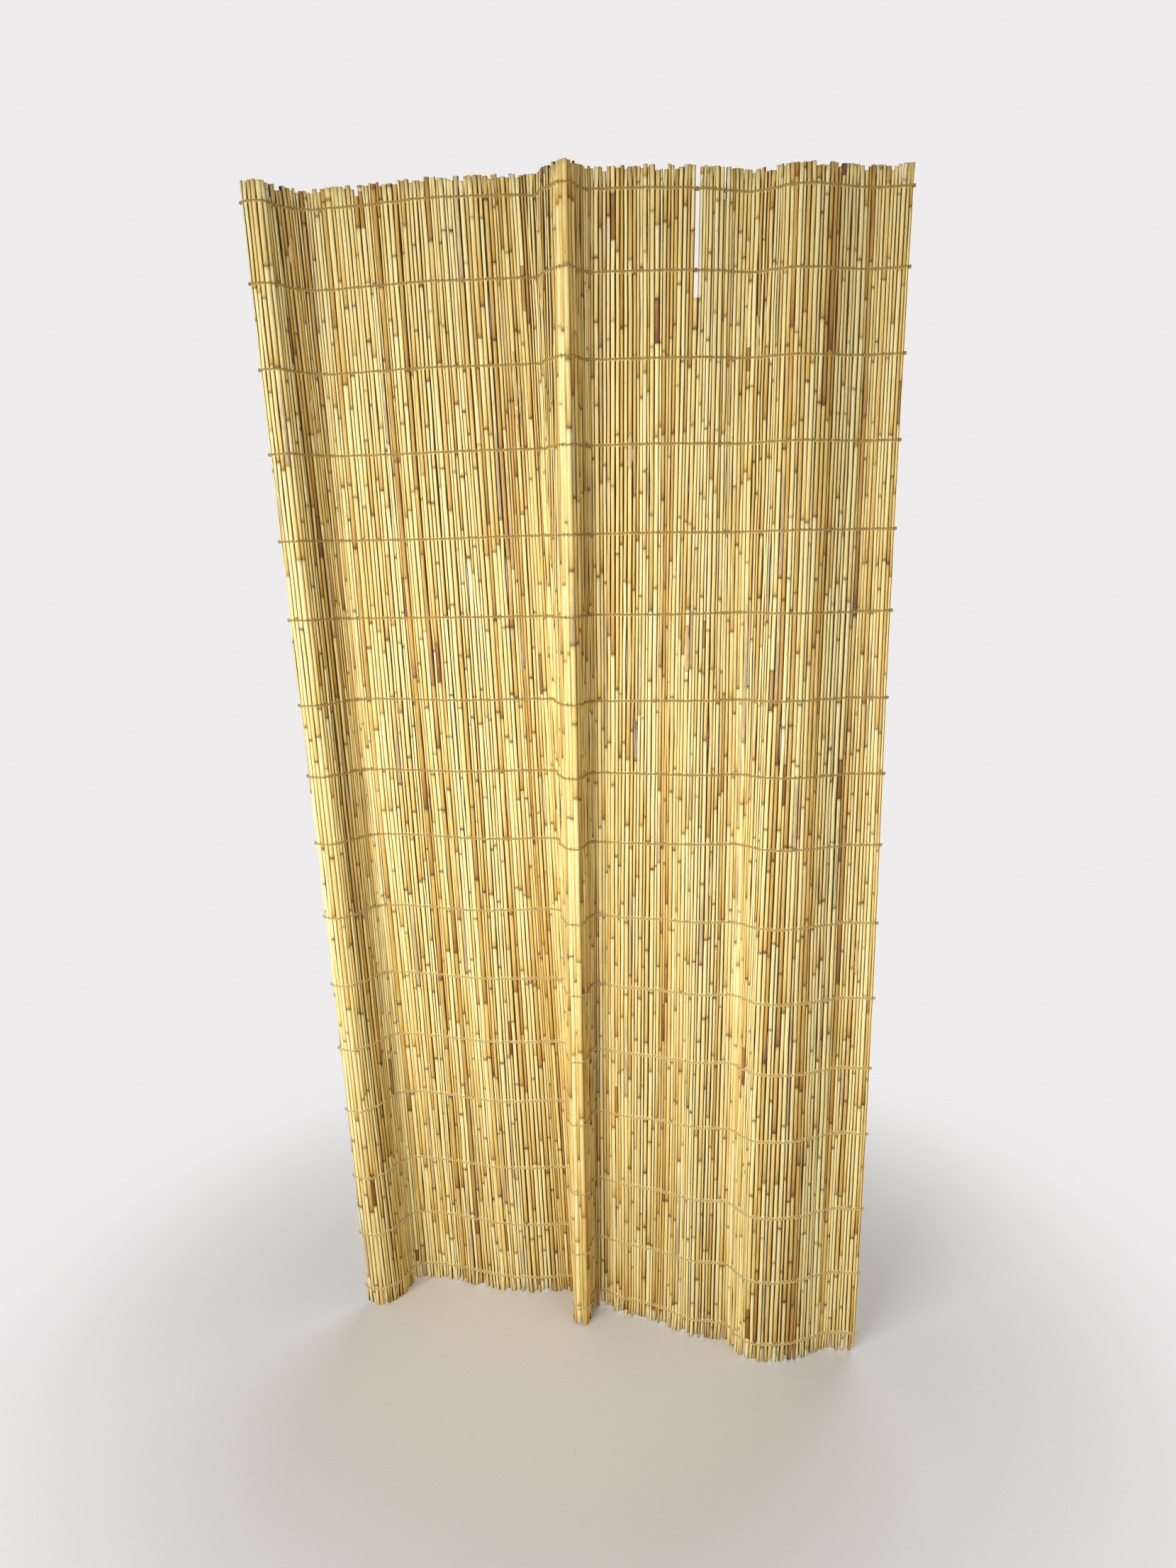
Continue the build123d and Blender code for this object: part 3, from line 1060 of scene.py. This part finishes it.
class MAT_OT_stage(bpy.types.Operator):
    """Set up the floor, the light and the camera"""

    bl_idname = "mat.stage"
    bl_label = "Set Stage"

    def execute(self, context):
        look = context.scene.mat_stage
        add_floor(look)
        add_sky(look)
        add_lamp("key", look.key_power, look.key_spread)
        add_lamp("fill", look.fill_power)
        add_lamp("back", look.back_power)
        add_camera(look)
        context.scene.view_settings.view_transform = "Standard"
        return {"FINISHED"}


def seen_directly(finish):
    """1 where the camera sees a surface straight, mirrored or through glass."""
    path = finish.add("ShaderNodeLightPath", {}, {}).socket.node.outputs
    rays = [Wire(finish, path[name]) for name in ("Is Camera Ray", "Is Glossy Ray", "Is Transmission Ray")]
    return finish.add("ShaderNodeClamp", {}, {"Value": rays[0] + rays[1] + rays[2]})


def add_floor(look):
    """A wide pale floor that fades into the backdrop."""
    bm = bmesh.new()
    bmesh.ops.create_circle(bm, cap_ends=True, segments=FLOOR_SIDES, radius=FLOOR_RADIUS)
    mesh = bpy.data.meshes.new("floor")
    bm.to_mesh(mesh)
    bm.free()
    floor = bpy.data.objects.new("floor", mesh)
    bpy.context.scene.collection.objects.link(floor)
    made, finish = Finish.material("floor")
    spot = finish.add("ShaderNodeTexCoord", {}, {}, "Object")
    reach = finish.add("ShaderNodeVectorMath", {"operation": "LENGTH"}, {0: spot}, "Value")
    fade = finish.between(reach, FADE_START, FADE_END) * seen_directly(finish)
    matt = finish.add("ShaderNodeBsdfDiffuse", {}, {"Color": look.floor})
    glow = finish.add("ShaderNodeEmission", {}, {"Color": look.backdrop})
    shown = finish.add("ShaderNodeMixShader", {}, {0: fade, 1: matt, 2: glow})
    finish.add("ShaderNodeOutputMaterial", {}, {"Surface": shown})
    mesh.materials.append(made)


def add_sky(look):
    """Even light from all round, and the pale backdrop that the camera sees."""
    sky = bpy.data.worlds.new("sky")
    sky.use_nodes = True
    finish = Finish(sky.node_tree)
    light = finish.add("ShaderNodeBackground", {}, {"Color": (1, 1, 1), "Strength": look.sky})
    plain = finish.add("ShaderNodeBackground", {}, {"Color": look.backdrop})
    shown = finish.add("ShaderNodeMixShader", {}, {0: seen_directly(finish), 1: light, 2: plain})
    finish.add("ShaderNodeOutputWorld", {}, {"Surface": shown})
    bpy.context.scene.world = sky


def add_lamp(name, power, spread=math.pi):
    """A large soft square light that faces the middle of the mat."""
    place, width = LAMPS[name]
    lamp = bpy.data.lights.new(name, "AREA")
    lamp.size = width
    lamp.energy = power
    lamp.spread = spread
    holder = bpy.data.objects.new(name, lamp)
    holder.location = place
    aim = Vector((0, 0, REED_LENGTH / 2)) - holder.location
    holder.rotation_euler = aim.to_track_quat("-Z", "Y").to_euler()
    bpy.context.scene.collection.objects.link(holder)


def add_camera(look):
    """The camera, where it stood for the upright mat."""
    camera = bpy.data.cameras.new("camera")
    camera.sensor_fit = "VERTICAL"
    camera.sensor_height = SENSOR_HEIGHT
    camera.lens = look.lens
    holder = bpy.data.objects.new("camera", camera)
    level = math.cos(look.pitch)
    aim = Vector((-math.sin(look.turn) * level, math.cos(look.turn) * level, -math.sin(look.pitch)))
    holder.location = look.place
    holder.rotation_mode = "QUATERNION"
    holder.rotation_quaternion = aim.to_track_quat("-Z", "Y") @ Quaternion((0, 0, 1), -look.roll)
    bpy.context.scene.collection.objects.link(holder)
    bpy.context.scene.camera = holder


class MAT_PT_panel(bpy.types.Panel):
    """The steps that dress the mat"""

    bl_idname = "MAT_PT_panel"
    bl_label = "Reed Mat"
    bl_space_type = "VIEW_3D"
    bl_region_type = "UI"
    bl_category = "Reed Mat"

    def draw(self, context):
        for operator in OPERATORS:
            self.layout.operator(operator.bl_idname)


SETTINGS = {"mat_reeds": ReedSettings, "mat_twine": TwineSettings, "mat_stage": StageSettings}
OPERATORS = (MAT_OT_reeds, MAT_OT_twine, MAT_OT_leaves, MAT_OT_stage)


def register():
    """Makes the settings, the operators and the panel known to Blender."""
    for made in (*SETTINGS.values(), *OPERATORS, MAT_PT_panel):
        bpy.utils.register_class(made)
    for name, group in SETTINGS.items():
        setattr(bpy.types.Scene, name, PointerProperty(type=group))


def unregister():
    """Takes them away again."""
    for name in SETTINGS:
        delattr(bpy.types.Scene, name)
    for made in (MAT_PT_panel, *OPERATORS, *SETTINGS.values()):
        bpy.utils.unregister_class(made)


def main():
    """Dresses the mat."""
    register()
    bpy.ops.mat.reeds()
    bpy.ops.mat.twine()
    bpy.ops.mat.leaves()
    bpy.ops.mat.stage()


if __name__ == "__main__":
    main()
